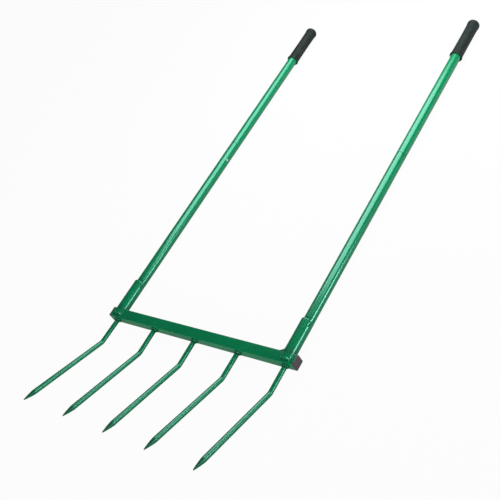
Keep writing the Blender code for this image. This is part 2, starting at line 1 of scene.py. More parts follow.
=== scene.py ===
# %% [markdown]
# # A broadfork in green enamel
#
# A broadfork is a garden fork for two hands: a row of bent, pointed tines hangs under a square
# steel crossbar, and a tall handle stands in a socket at each end of it.  The gardener steps on
# the crossbar and rocks the handles back.  Everything is steel tube or round bar, welded and
# then dipped in green enamel, apart from the rubber grips and the plastic plugs in the
# crossbar's ends.  Each handle comes apart for storage: a lock button holds it in its socket,
# and another holds its two lengths together.
#
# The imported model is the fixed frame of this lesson.  It has every piece at its right place and
# size, but with few faces and plain colours.  The cells below put a finer piece over each node,
# give it a real finish, and light it as in the photograph.

import math

import bmesh
import bpy
from mathutils import Matrix, Vector


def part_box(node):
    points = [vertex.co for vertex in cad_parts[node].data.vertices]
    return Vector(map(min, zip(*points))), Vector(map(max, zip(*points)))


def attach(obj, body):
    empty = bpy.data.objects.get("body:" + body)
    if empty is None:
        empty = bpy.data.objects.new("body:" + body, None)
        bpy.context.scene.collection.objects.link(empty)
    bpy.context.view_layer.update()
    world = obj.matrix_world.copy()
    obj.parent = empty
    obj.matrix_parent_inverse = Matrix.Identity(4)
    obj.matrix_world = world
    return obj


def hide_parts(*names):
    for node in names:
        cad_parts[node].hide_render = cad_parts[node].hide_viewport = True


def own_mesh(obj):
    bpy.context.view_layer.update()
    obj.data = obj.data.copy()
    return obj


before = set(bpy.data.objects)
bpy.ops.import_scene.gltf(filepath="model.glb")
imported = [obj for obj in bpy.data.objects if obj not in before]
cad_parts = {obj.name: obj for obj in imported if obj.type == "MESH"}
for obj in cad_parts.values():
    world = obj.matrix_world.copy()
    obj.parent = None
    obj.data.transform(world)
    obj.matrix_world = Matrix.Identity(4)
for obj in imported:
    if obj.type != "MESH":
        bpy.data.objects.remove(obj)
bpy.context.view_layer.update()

# %% [markdown]
# ## Sizes
#
# The fork lies on its back: +X runs along the crossbar, +Y up the handles, and +Z out of the
# front, the side that the tines lean towards.  The main sizes could be typed in again, but
# reading them from the frame's boxes means that a finer piece always lands on its node.  Only
# the small sizes that a box doesn't show, such as wall thicknesses, are given again.

# %% Sizes of the main pieces
MM = 0.001
GAP = 0.3 * MM                       # left between pieces that touch

bar_low, bar_high = (Vector(corner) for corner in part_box("crossbar"))
BAR_SIDE = bar_high.y - bar_low.y
BAR_TOP = bar_high.y
BAR_HALF = bar_high.x
BAR_WALL = 2.0 * MM
BAR_CORNER = 2.5 * MM

tube_low, tube_high = (Vector(corner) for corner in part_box("lower_handle_right"))
HANDLE_X = (tube_low.x + tube_high.x) / 2
HANDLE_Z = (tube_low.z + tube_high.z) / 2
HANDLE_RADIUS = (tube_high.x - tube_low.x) / 2
HANDLE_WALL = 1.2 * MM
SEAM_Y = tube_high.y + GAP           # where the two lengths of a handle meet
SIDES = {"left": -1.0, "right": 1.0}
print("bar", round(BAR_SIDE, 4), "handle at", round(HANDLE_X, 4), round(HANDLE_Z, 4), "seam", round(SEAM_Y, 4))

# %% [markdown]
# ## Camera
#
# The photograph is taken from the front right, well above the fork, with a fairly long lens.
# A camera can be aimed by eye, but here about sixty measured points of the picture were fitted
# to the real sizes, which gives its place, its three directions and its focal length at once.

# %% Camera at the photograph's viewing angle
CAMERA_AT = (1.20662, -0.55772, 1.25307)
CAMERA_RIGHT = Vector((0.763823, 0.478702, -0.432919))
CAMERA_DOWN = Vector((0.128850, -0.770344, -0.624474))
LENS_MM = 58.736

view_back = CAMERA_RIGHT.cross(-CAMERA_DOWN).normalized()
camera_data = bpy.data.cameras.new("photo_camera")
camera_data.lens = LENS_MM
camera_data.sensor_width = 36.0
camera_data.shift_x = -0.001
camera_data.shift_y = 0.0002
camera_data.clip_end = 100.0
camera = bpy.data.objects.new("photo_camera", camera_data)
bpy.context.collection.objects.link(camera)
camera.matrix_world = Matrix.Translation(CAMERA_AT) @ Matrix((CAMERA_RIGHT, -CAMERA_DOWN, view_back)).transposed().to_4x4()
bpy.context.scene.camera = camera
print("camera looks along", tuple(round(-value, 3) for value in view_back))

# %% [markdown]
# ## Formulas as nodes
#
# Shaders and Geometry Nodes both calculate with Math nodes, and a long formula is hard to read
# as a list of nodes and links.  This small class wraps one number of a tree, so that ordinary
# arithmetic on it adds the Math nodes.  The tree that it leaves behind is the same one that
# would be drawn by hand in the node editor.

# %% A number in a node tree
class Number:
    """A value in a node tree: arithmetic on it adds Math nodes."""

    def __init__(self, tree, socket):
        self.tree = tree
        self.socket = socket

    def math(self, operation, *others):
        node = self.tree.nodes.new("ShaderNodeMath")
        node.operation = operation
        for slot, value in zip(node.inputs, (self, *others)):
            plug(self.tree, value, slot)
        return Number(self.tree, node.outputs[0])

    def __add__(self, other):
        return self.math('ADD', other)

    def __sub__(self, other):
        return self.math('SUBTRACT', other)

    def __rsub__(self, other):
        return self.math('MULTIPLY', -1.0) + other

    def __mul__(self, other):
        return self.math('MULTIPLY', other)

    def __truediv__(self, other):
        return self.math('DIVIDE', other)

    __radd__ = __add__
    __rmul__ = __mul__

    def clamp(self, low, high):
        return self.math('MAXIMUM', low).math('MINIMUM', high)


def plug(tree, value, slot):
    """Put a number, a Number or an output socket into an input socket."""
    if isinstance(value, Number):
        tree.links.new(value.socket, slot)
    elif isinstance(value, bpy.types.NodeSocket):
        tree.links.new(value, slot)
    else:
        slot.default_value = value


def add_node(tree, kind, settings=None, **inputs):
    """Add a node, set its properties, and fill its inputs; _ stands for a space."""
    node = tree.nodes.new(kind)
    for name, value in (settings or {}).items():
        setattr(node, name, value)
    for name, value in inputs.items():
        plug(tree, value, node.inputs[name.replace("_", " ")])
    return node


# %% [markdown]
# ## Green enamel
#
# The steel is dipped or sprayed and then baked.  Such enamel is one strong green, smooth enough
# to mirror a lamp as a soft streak, with the faint pebbling that painters call orange peel.  A
# texture picture would have to be wrapped round every tube; noise on Object coordinates runs over
# all the pieces at one scale without any unwrapping.  One attribute that the mesh cells store
# darkens the paint as painted shade: in the creases beside the welds, over the weld beads, deepest
# in their ripple valleys, and along the tines' cones; it also makes the paint rougher there.
# Another, tip, greys the worn points.

# %% Enamel finish
GREEN = (0.0, 0.115, 0.042)
GREEN_DEEP = (0.0, 0.100, 0.036)
# the dark green of the painted shade by the welds and on the tines' cones
PAINTED_SHADE_GREEN = (0.0, 0.045, 0.016)
TIP_GREY = (0.030, 0.040, 0.034)


def new_finish(name):
    """An empty procedural material with its tree, shader and Object coordinates."""
    finish = bpy.data.materials.new(name)
    finish.use_nodes = True
    tree = finish.node_tree
    shader = tree.nodes["Principled BSDF"]
    place = tree.nodes.new("ShaderNodeTexCoord").outputs["Object"]
    return finish, tree, shader, place


def noise(tree, place, scale, detail=2.0, roughness=0.5):
    """Noise around 0.5 at so many features a metre."""
    node = add_node(tree, "ShaderNodeTexNoise", Vector=place, Scale=scale, Detail=detail, Roughness=roughness)
    return Number(tree, node.outputs["Fac"])


def mix(tree, factor, first, second):
    """Blend two colours; either may be a socket."""
    node = tree.nodes.new("ShaderNodeMix")
    node.data_type = 'RGBA'
    plug(tree, factor, node.inputs["Factor"])
    for value, slot in ((first, node.inputs[6]), (second, node.inputs[7])):
        plug(tree, value if isinstance(value, bpy.types.NodeSocket) else (*value, 1.0), slot)
    return node.outputs[2]


def attribute(tree, name):
    """A number that the mesh carries; 0 where a piece has none of that name."""
    node = tree.nodes.new("ShaderNodeAttribute")
    node.attribute_name = name
    return Number(tree, node.outputs["Fac"])


def relief(tree, height, depth, shader, strength=1.0):
    """Turn a height of 0 to 1 into bumps so many metres deep."""
    bump = add_node(tree, "ShaderNodeBump", Strength=strength, Distance=depth, Height=height)
    plug(tree, bump.outputs["Normal"], shader.inputs["Normal"])


def enamel(name, peel=0.001 * MM, roughness=0.20, gloss=0.6):
    """Baked green enamel."""
    finish, tree, shader, place = new_finish(name)
    thick = (noise(tree, place, 22.0, 3.0) - 0.35) * 2.4
    paint = mix(tree, thick.clamp(0.0, 1.0), GREEN_DEEP, GREEN)
    # Painted shade: this attribute darkens the green in weld creases, on weld beads and on the tines' cones, and adds
    # roughness there.
    painted_shade = attribute(tree, "painted_shade")
    paint = mix(tree, painted_shade.clamp(0.0, 1.0), paint, PAINTED_SHADE_GREEN)
    paint = mix(tree, attribute(tree, "tip").clamp(0.0, 1.0), paint, TIP_GREY)
    plug(tree, paint, shader.inputs["Base Color"])
    haze = noise(tree, place, 90.0, 2.0) * 0.03 + (roughness - 0.015) + painted_shade * 0.12
    plug(tree, haze.clamp(0.05, 0.9), shader.inputs["Roughness"])
    shader.inputs["Specular IOR Level"].default_value = gloss
    shader.inputs["Specular Tint"].default_value = (0.42, 1.0, 0.90, 1.0)
    pebbles = noise(tree, place, 520.0, 1.0) + noise(tree, place, 130.0, 1.0) * 1.5
    relief(tree, pebbles, peel, shader)
    return finish


tube_enamel = enamel("tube_enamel")
bar_enamel = enamel("bar_enamel", peel=0.003 * MM)
tine_enamel = enamel("tine_enamel", peel=0.006 * MM, roughness=0.24, gloss=0.45)
weld_enamel = enamel("weld_enamel", peel=0.03 * MM, roughness=0.26)
print("enamels ready")

# %% [markdown]
# ## Turned pieces and cuts
#
# Tubes, sockets and grips are round, so each is a profile spun about its axis.  A Screw modifier
# could do that, but mesh code shows the exact profile and merges the seam at once.  Slots and
# notches are then cut with Booleans, as a press tool cuts them, and the result is turned into a
# plain mesh whose object sits at the origin.

# %% Mesh helpers
def arc(centre_a, centre_b, radius, start, end, steps):
    """Points of an arc, both ends included; angles in degrees."""
    turn = [math.radians(start + (end - start) * step / steps) for step in range(steps + 1)]
    return [(centre_a + radius * math.cos(t), centre_b + radius * math.sin(t)) for t in turn]


def turned(profile, segments=96, closed=False):
    """Spin a (radius, height) profile about Z."""
    bm = bmesh.new()
    verts = [bm.verts.new((radius, 0.0, height)) for radius, height in profile]
    edges = [bm.edges.new(pair) for pair in zip(verts, verts[1:])]
    if closed:
        edges.append(bm.edges.new((verts[-1], verts[0])))
    bmesh.ops.spin(
        bm, geom=verts + edges, cent=(0, 0, 0), axis=(0, 0, 1),
        angle=math.tau, steps=segments, use_duplicate=False,
    )
    return bm


def raised(outline, bottom, top):
    """Extrude an outline of (x, y) points along Z."""
    bm = bmesh.new()
    face = bm.faces.new([bm.verts.new((x, y, bottom)) for x, y in outline])
    moved = bmesh.ops.extrude_face_region(bm, geom=[face])["geom"]
    verts = [item for item in moved if isinstance(item, bmesh.types.BMVert)]
    bmesh.ops.translate(bm, verts=verts, vec=(0, 0, top - bottom))
    return bm


def box_mesh(size, centre):
    """A box, used only to cut with."""
    bm = bmesh.new()
    bmesh.ops.create_cube(bm, size=1.0, matrix=Matrix.Translation(centre) @ Matrix.Diagonal((*size, 1.0)))
    return bm


def shape(name, bm, place=None):
    """Close a mesh's seams, point its faces outwards, and put it in the scene."""
    bmesh.ops.remove_doubles(bm, verts=bm.verts, dist=1e-6)
    bmesh.ops.recalc_face_normals(bm, faces=bm.faces)
    if place is not None:
        bmesh.ops.transform(bm, matrix=place, verts=bm.verts)
    mesh = bpy.data.meshes.new(name)
    bm.to_mesh(mesh)
    bm.free()
    piece = bpy.data.objects.new(name, mesh)
    bpy.context.collection.objects.link(piece)
    return piece


def boolean(piece, tool, operation='DIFFERENCE'):
    """Cut, join or trim a piece with a tool shape."""
    modifier = piece.modifiers.new(tool.name, 'BOOLEAN')
    modifier.operation = operation
    modifier.solver = 'EXACT'
    modifier.object = tool


def settle(piece, tools=()):
    """Turn a piece and its modifiers into one plain mesh, and clear its tools away."""
    evaluated = piece.evaluated_get(bpy.context.evaluated_depsgraph_get())
    mesh = bpy.data.meshes.new_from_object(evaluated)
    piece.modifiers.clear()
    piece.data = mesh
    for tool in tools:
        bpy.data.objects.remove(tool, do_unlink=True)


def finish_piece(piece, finish, node_slot, *nodes, body="fork", sharp=32.0):
    """Shade a piece smooth, give it its finish, and let it stand for its nodes."""
    piece.data.materials.clear()
    piece.data.materials.append(finish)
    piece.data.shade_smooth()
    piece.data.set_sharp_from_angle(angle=math.radians(sharp))
    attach(piece, body)
    if nodes:
        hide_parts(*nodes)
    print(piece.name, "faces", len(piece.data.polygons))


def tint(piece, name, value):
    """Store one number for each vertex, from a function of its place."""
    layer = piece.data.attributes.new(name, 'FLOAT', 'POINT')
    layer.data.foreach_set("value", [value(vert.co) for vert in piece.data.vertices])


# %% [markdown]
# ## Crossbar
#
# The crossbar is a square steel tube with round corners, drilled underneath for the tines.  Its
# outline is swept along X as two nested rings, so the wall is real and shows its thickness at the
# open ends before the plugs go in.

# %% Crossbar
TINE_XS = [HANDLE_X * (number - 3) / 2 for number in range(1, 6)]
TINE_RADIUS = 5.5 * MM


def square_outline(side, corner, steps=8):
    """Outline of a square with round corners."""
    reach = side / 2 - corner
    points = []
    for quarter, (sign_a, sign_b) in enumerate(((1, 1), (-1, 1), (-1, -1), (1, -1))):
        points += arc(sign_a * reach, sign_b * reach, corner, 90 * quarter, 90 * quarter + 90, steps)
    return points


def build_crossbar():
    """Square tube from end to end, with its five holes."""
    turn = Matrix.Translation((0, 0, BAR_SIDE / 2)) @ Matrix.Rotation(math.radians(90), 4, 'Y')
    bar = shape("crossbar_tube", raised(square_outline(BAR_SIDE, BAR_CORNER), -BAR_HALF, BAR_HALF), turn)
    bore = BAR_SIDE - 2 * BAR_WALL
    hollow = shape("hollow", raised(square_outline(bore, BAR_CORNER - BAR_WALL / 2), -1.1 * BAR_HALF, 1.1 * BAR_HALF), turn)
    boolean(bar, hollow)
    tools = [hollow]
    for x in TINE_XS:
        hole = TINE_RADIUS + GAP
        drill = turned([(0, 0), (hole, 0), (hole, 3 * BAR_WALL), (0, 3 * BAR_WALL)], 48)
        place = Matrix.Translation((x, BAR_WALL * 2 - BAR_SIDE / 2, BAR_SIDE / 2)) @ Matrix.Rotation(math.radians(90), 4, 'X')
        tools.append(shape("drill", drill, place))
        boolean(bar, tools[-1])
    settle(bar, tools)
    return bar


crossbar = build_crossbar()
finish_piece(crossbar, bar_enamel, "bar_paint", "crossbar")

# %% [markdown]
# ## Tines
#
# A tine is a round bar, bent once towards the front and drawn out to a point.  It swells a little
# before the point, where the smith's hammer has spread it.  All of that follows a rule, so one
# Geometry Nodes tree makes every tine: a straight line is resampled, its points are moved onto
# straight, arc, straight, and a circle is swept along it with a radius that depends on the
# distance from the point.  The bar's slight unevenness is noise along the normal, with a seed for
# each tine.

# %% Tree that draws a tine
TINE_INPUTS = {
    "Radius": TINE_RADIUS, "Swell": 0.45 * MM, "Root": BAR_SIDE - BAR_WALL - GAP,
    "Weld": 3.9 * MM, "Straight": 67.0 * MM, "Lower": 233.0 * MM, "Bend": math.radians(22.2), "Bend Radius": 24.0 * MM,
    "Point": 30.0 * MM, "Point Radius": 0.9 * MM, "Belly": 0.5 * MM, "Unevenness": 0.06 * MM,
    "Lean": 0.0, "Place X": 0.0, "Seed": 0.0,
}


def new_tree(name, inputs):
    """A Geometry Nodes tree with a geometry and some numbers going in."""
    tree = bpy.data.node_groups.new(name, 'GeometryNodeTree')
    tree.interface.new_socket("Geometry", in_out='INPUT', socket_type='NodeSocketGeometry')
    tree.interface.new_socket("Geometry", in_out='OUTPUT', socket_type='NodeSocketGeometry')
    for label, value in inputs.items():
        tree.interface.new_socket(label, in_out='INPUT', socket_type='NodeSocketFloat').default_value = value
    start = tree.nodes.new("NodeGroupInput")
    numbers = {label: Number(tree, start.outputs[label]) for label in inputs}
    return tree, start.outputs["Geometry"], numbers


def end_tree(tree, geometry, finish):
    """Close a tree with smooth shading, Realize Instances and Set Material."""
    smooth = add_node(tree, "GeometryNodeSetShadeSmooth", Geometry=geometry)
    real = add_node(tree, "GeometryNodeRealizeInstances", Geometry=smooth.outputs[0])
    coat = add_node(tree, "GeometryNodeSetMaterial", Geometry=real.outputs[0], Material=finish)
    plug(tree, coat.outputs[0], tree.nodes.new("NodeGroupOutput").inputs[0])


def remember(tree, geometry, name, value):
    """Store a number on every point, and give back the geometry and the number."""
    node = add_node(tree, "GeometryNodeStoreNamedAttribute", Geometry=geometry, Name=name, Value=value)
    reader = add_node(tree, "GeometryNodeInputNamedAttribute", Name=name)
    return node.outputs[0], Number(tree, reader.outputs["Attribute"])


def roughen(tree, geometry, amount, scale, seed):
    """Push each vertex along its normal by up to so many metres."""
    spot = tree.nodes.new("GeometryNodeInputPosition").outputs[0]
    shift = add_node(tree, "ShaderNodeCombineXYZ", X=seed * 0.37, Y=seed * 0.11)
    moved = tree.nodes.new("ShaderNodeVectorMath")
    plug(tree, spot, moved.inputs[0])
    plug(tree, shift.outputs[0], moved.inputs[1])
    lump = (noise(tree, moved.outputs[0], scale, 1.0) - 0.5) * amount * 2.0
    push = add_node(tree, "ShaderNodeVectorMath", {"operation": 'SCALE'}, Scale=lump)
    plug(tree, tree.nodes.new("GeometryNodeInputNormal").outputs[0], push.inputs[0])
    return add_node(tree, "GeometryNodeSetPosition", Geometry=geometry, Offset=push.outputs[0]).outputs[0]


def draw_tine_tree():
    """Line, resampled, bent, swept and pointed."""
    tree, _, size = new_tree("tine", TINE_INPUTS)
    line = add_node(tree, "GeometryNodeCurvePrimitiveLine", End=(0.0, -1.0, 0.0))
    fine = add_node(tree, "GeometryNodeResampleCurve", Curve=line.outputs[0], Count=260)
    setback = size["Bend Radius"] * (size["Bend"] / 2.0).math('TANGENT')
    first = size["Root"] + size["Straight"] - setback
    length = first + size["Bend Radius"] * size["Bend"] + size["Lower"] - setback
    factor = Number(tree, tree.nodes.new("GeometryNodeSplineParameter").outputs["Factor"])
    spread = 1.0 - (1.0 - factor).math('MAXIMUM', 0.0).math('POWER', 1.6)
    curve, along = remember(tree, fine.outputs[0], "along", spread * length)

    turned_by = ((along - first) / size["Bend Radius"]).math('MAXIMUM', 0.0).math('MINIMUM', size["Bend"])
    before = along.math('MINIMUM', first)
    after = (along - first - size["Bend Radius"] * size["Bend"]).math('MAXIMUM', 0.0)
    drop = before + size["Bend Radius"] * turned_by.math('SINE') + after * size["Bend"].math('COSINE')
    rise = size["Bend Radius"] * (1.0 - turned_by.math('COSINE')) + after * size["Bend"].math('SINE')
    below = (drop - size["Root"] - size["Weld"]).math('MAXIMUM', 0.0)
    spot = add_node(
        tree, "ShaderNodeCombineXYZ", X=size["Place X"] + below * size["Lean"],
        Y=(BAR_SIDE / 2 - BAR_WALL - GAP) - drop, Z=rise + BAR_SIDE / 2,
    )
    bent = add_node(tree, "GeometryNodeSetPosition", Geometry=curve, Position=spot.outputs[0]).outputs[0]

    left = length - along
    swell = size["Swell"] * (after / (size["Lower"] - setback - size["Point"])).clamp(0.0, 1.0)
    full = size["Radius"] + swell
    cone = (left / size["Point"]).clamp(0.0, 1.0)
    taper = size["Point Radius"] + (full - size["Point Radius"]) * cone + size["Belly"] * 4.0 * cone * (1.0 - cone)
    end = (left / size["Point Radius"]).clamp(0.0, 1.0)
    ball = (end * (2.0 - end)).math('MAXIMUM', 0.0004).math('SQRT')
    ring = add_node(tree, "GeometryNodeCurvePrimitiveCircle", Resolution=48, Radius=1.0)
    swept = add_node(
        tree, "GeometryNodeCurveToMesh", Curve=bent, Profile_Curve=ring.outputs[0],
        Scale=taper * ball, Fill_Caps=True,
    )
    body, _ = remember(tree, swept.outputs[0], "tip", (1.15 - left / (4.5 * MM)))
    # Painted shade: darker paint round the root, where the tine enters the crossbar, and along the cone of the point.
    root_shade = ((1.0 - (along - size["Root"]) / (9.0 * MM)) * 0.9).math('MAXIMUM', 0.0)
    cone_shade = ((size["Point"] - left) / (1.5 * MM)).clamp(0.0, 1.0) * 0.75
    body, _ = remember(tree, body, "painted_shade", root_shade.math('MAXIMUM', cone_shade))
    end_tree(tree, roughen(tree, body, size["Unevenness"], 55.0, size["Seed"]), tine_enamel)
    return tree


def grow(name, tree, values, base=None):
    """Run a tree on a new object and keep the result as a plain mesh."""
    piece = base or bpy.data.objects.new(name, bpy.data.meshes.new(name))
    if base is None:
        bpy.context.collection.objects.link(piece)
    modifier = piece.modifiers.new(tree.name, 'NODES')
    modifier.node_group = tree
    identifiers = {item.name: item.identifier for item in tree.interface.items_tree if item.in_out == 'INPUT'}
    for label, value in values.items():
        modifier[identifiers[label]] = float(value)
    evaluated = piece.evaluated_get(bpy.context.evaluated_depsgraph_get())
    mesh = bpy.data.meshes.new_from_object(evaluated)
    piece.modifiers.remove(modifier)
    bpy.data.objects.remove(piece, do_unlink=True)
    result = bpy.data.objects.new(name, mesh)
    bpy.context.collection.objects.link(result)
    return result


# %% Five tines
TINE_LEANS = (-1.7, 0.5, 0.6, -0.6, 0.0)     # degrees to the right
tine_tree = draw_tine_tree()
for number, (x, degrees) in enumerate(zip(TINE_XS, TINE_LEANS), 1):
    lean = math.tan(math.radians(degrees))
    tine = grow(f"bent_tine_{number}", tine_tree, {"Place X": x, "Lean": lean, "Seed": number})
    finish_piece(tine, tine_enamel, "tine_paint", f"tine_{number}", sharp=40.0)

# %% [markdown]
# ## Sockets
#
# Each handle stands in a short, wider tube.  The tube is notched so that half of it stands on the
# crossbar's top and half hangs down over its front, where its end is rounded off.  Spinning one
# profile gives the tube and its closed lip, and a Boolean with the crossbar's own outline gives
# the notch.  The oblong slot near the rim is for the lock button.

# %% Places on a handle
SOCKET_RADIUS = 14.3 * MM
SOCKET_BORE = SOCKET_RADIUS - 1.2 * MM
SOCKET_AHEAD = 2.5 * MM              # socket's axis in front of the handle's
SOCKET_RIM = BAR_TOP + 80.5 * MM
SOCKET_LIP = 17.0 * MM
LIP_ROUND = 4.5 * MM
BUTTON_WIDTH = 6.4 * MM
BUTTON_LENGTH = 12.8 * MM
BUTTON_Y = SOCKET_RIM - 9.8 * MM
BUTTON_AZIMUTH = math.radians(52.0)
PIN_Y = SEAM_Y - 59.0 * MM
PIN_WIDTH = 6.0 * MM
PIN_AZIMUTH = {"left": math.radians(78.0), "right": math.radians(258.0)}


def handle_frame(side):
    """A handle's own frame: Z runs up its axis, and its front is -Y."""
    place = Matrix.Translation((SIDES[side] * HANDLE_X, 0, HANDLE_Z))
    return place @ Matrix.Rotation(math.radians(-90), 4, 'X')


def radial_frame(side, azimuth, height):
    """A frame on a handle: Z points outwards and Y runs up it; azimuth 0 is the front."""
    outward = Vector((math.sin(azimuth), -math.cos(azimuth), 0.0))
    along = Vector((0.0, 0.0, 1.0))
    place = Matrix((along.cross(outward), along, outward)).transposed().to_4x4()
    place.translation = (0.0, 0.0, height)
    return handle_frame(side) @ place


def oblong(width, length, steps=16):
    """Outline of a slot: width across, length along the second axis."""
    straight = (length - width) / 2
    if straight < 1e-6:
        return arc(0, 0, width / 2, 0, 360, 2 * steps)[:-1]
    return arc(0, straight, width / 2, 0, 180, steps) + arc(0, -straight, width / 2, 180, 360, steps)


def slot_tool(side, width, length, azimuth, height, inner, outer):
    """A shape that cuts a button's hole through a tube wall."""
    return shape("slot", raised(oblong(width + 2 * GAP, length + 2 * GAP), inner, outer), radial_frame(side, azimuth, height))


def steps_between(low, high, count):
    """Evenly spaced heights, both ends included."""
    return [low + (high - low) * step / count for step in range(count + 1)]


# %% Socket tubes
FOOT_LEG = 3.0 * MM
INNER_LEG = 14.0 * MM


def foot_fillet(frame_here, leg, land_x):
    """Hollow fillet round a socket's foot, kept to the crossbar's flat top face."""
    foot = BAR_TOP + GAP
    inner = SOCKET_RADIUS - 0.7 * MM
    ring = [(inner, foot)] + arc(SOCKET_RADIUS + leg, foot + leg, leg, 270, 180, 16) + [(inner, foot + leg)]
    fillet = shape("fillet", turned(ring, closed=True), frame_here @ Matrix.Translation((0, -SOCKET_AHEAD, 0)))
    to_axis = HANDLE_Z - BAR_SIDE / 2
    land = box_mesh((8 * SOCKET_RADIUS, BAR_SIDE - 2 * BAR_CORNER, 4 * leg), (land_x, to_axis, foot))
    land = shape("land", land, frame_here)
    boolean(fillet, land, 'INTERSECT')
    settle(fillet, [land])
    return fillet


def build_socket(side):
    """Tube, lip, smooth weld fillets at the foot, notch for the crossbar, button slot."""
    bottom = BAR_TOP - SOCKET_LIP
    pocket = BAR_TOP - 1.0 * MM
    edge = 0.45 * MM
    profile = [(0.0, bottom)] + arc(SOCKET_RADIUS - LIP_ROUND, bottom + LIP_ROUND, LIP_ROUND, 270, 360, 10)
    profile += [(SOCKET_RADIUS, y) for y in steps_between(BAR_TOP, SOCKET_RIM - edge, 24)]
    profile += arc(SOCKET_RADIUS - edge, SOCKET_RIM - edge, edge, 22, 90, 3)
    profile += arc(SOCKET_BORE + edge, SOCKET_RIM - edge, edge, 90, 158, 3)
    profile += [(SOCKET_BORE, y) for y in steps_between(SOCKET_RIM - edge, pocket, 24)] + [(0.0, pocket)]
    frame_here = handle_frame(side)
    socket = shape(f"socket_tube_{side}", turned(profile), frame_here @ Matrix.Translation((0, -SOCKET_AHEAD, 0)))
    fillets = [foot_fillet(frame_here, FOOT_LEG, 0.0)]
    if side == "right":
        fillets.append(foot_fillet(frame_here, INNER_LEG, -4 * SOCKET_RADIUS))
    for fillet in fillets:
        boolean(socket, fillet, 'UNION')
    notch = shape(
        "notch", raised(square_outline(BAR_SIDE + 2 * GAP, BAR_CORNER), -3 * SOCKET_RADIUS, 3 * SOCKET_RADIUS),
        Matrix.Translation((SIDES[side] * HANDLE_X, 0, BAR_SIDE / 2)) @ Matrix.Rotation(math.radians(90), 4, 'Y'),
    )
    boolean(socket, notch)
    slot = slot_tool(side, BUTTON_WIDTH, BUTTON_LENGTH, BUTTON_AZIMUTH, BUTTON_Y, HANDLE_RADIUS / 2, 2 * SOCKET_RADIUS)
    boolean(socket, slot)
    settle(socket, [*fillets, notch, slot])
    return socket


for side in SIDES:
    socket = build_socket(side)
    # Painted shade: the socket darkens towards the crease where it meets the crossbar's top.
    tint(socket, "painted_shade", lambda spot: 0.8 * max(0.0, 1.0 - abs(spot.y - BAR_TOP) / (9.0 * MM)))
    finish_piece(socket, tube_enamel, "socket_paint", f"handle_socket_{side}")

# %% [markdown]
# ## Handle tubes
#
# A handle is two lengths of the same round tube.  The upper length is swaged down below the
# joint, so that its end slides into the lower one, and a pressed pip on it drops into a notch in
# the rim so that the two can't turn.  Both are spun profiles with their slots cut through.

# %% Lower tubes
BORE = HANDLE_RADIUS - HANDLE_WALL
SPIGOT_RADIUS = BORE - GAP
SPIGOT_BORE = SPIGOT_RADIUS - HANDLE_WALL
FOOT_RADIUS = SOCKET_BORE - SOCKET_AHEAD - GAP
FOOT_BORE = FOOT_RADIUS - HANDLE_WALL
EDGE = 0.4 * MM
KEY_WIDTH = 5.4 * MM
KEY_Y = SEAM_Y - GAP - KEY_WIDTH / 2


def build_lower_tube(side):
    """Tube from the crossbar to the mid joint, swaged down inside the socket."""
    foot = BAR_TOP + GAP
    shoulder = SOCKET_RIM + GAP
    top = SEAM_Y - GAP
    profile = arc(FOOT_BORE + EDGE, foot + EDGE, EDGE, 180, 270, 3) + arc(FOOT_RADIUS - EDGE, foot + EDGE, EDGE, 270, 360, 3)
    profile += [(FOOT_RADIUS, y) for y in steps_between(foot + EDGE, shoulder, 16)][1:]
    profile += arc(HANDLE_RADIUS - EDGE, shoulder + EDGE, EDGE, 270, 360, 3)
    profile += [(HANDLE_RADIUS, y) for y in steps_between(shoulder + EDGE, top - EDGE, 76)][1:-1]
    profile += arc(HANDLE_RADIUS - EDGE, top - EDGE, EDGE, 0, 90, 3) + arc(BORE + EDGE, top - EDGE, EDGE, 90, 180, 3)
    profile += [(BORE, y) for y in steps_between(top - EDGE, shoulder + 6.0 * MM, 60)][1:]
    profile += [(FOOT_BORE, y) for y in steps_between(shoulder + 3.0 * MM, foot + EDGE, 16)][:-1]
    tube = shape(f"lower_tube_{side}", turned(profile, closed=True), handle_frame(side))
    key_turn = PIN_AZIMUTH[side] + math.pi
    notch = raised(oblong(KEY_WIDTH + 2 * GAP, 2 * KEY_WIDTH + 2 * GAP), HANDLE_RADIUS / 2, 2 * HANDLE_RADIUS)
    tools = [
        slot_tool(side, BUTTON_WIDTH, BUTTON_LENGTH, BUTTON_AZIMUTH, BUTTON_Y, HANDLE_RADIUS / 2, 2 * HANDLE_RADIUS),
        slot_tool(side, PIN_WIDTH, PIN_WIDTH, PIN_AZIMUTH[side], PIN_Y, HANDLE_RADIUS / 2, 2 * HANDLE_RADIUS),
        shape("key_notch", notch, radial_frame(side, key_turn, KEY_Y + KEY_WIDTH / 2)),
    ]
    for tool in tools:
        boolean(tube, tool)
    settle(tube, tools)
    return tube


for side in SIDES:
    finish_piece(build_lower_tube(side), tube_enamel, "handle_paint", f"lower_handle_{side}")

# %% Upper tubes
HANDLE_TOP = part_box("grip_right")[1][1]
TUBE_END = HANDLE_TOP - 4.0 * MM - GAP
SPIGOT_LENGTH = 82.0 * MM
KEY_PROUD = 1.3 * MM


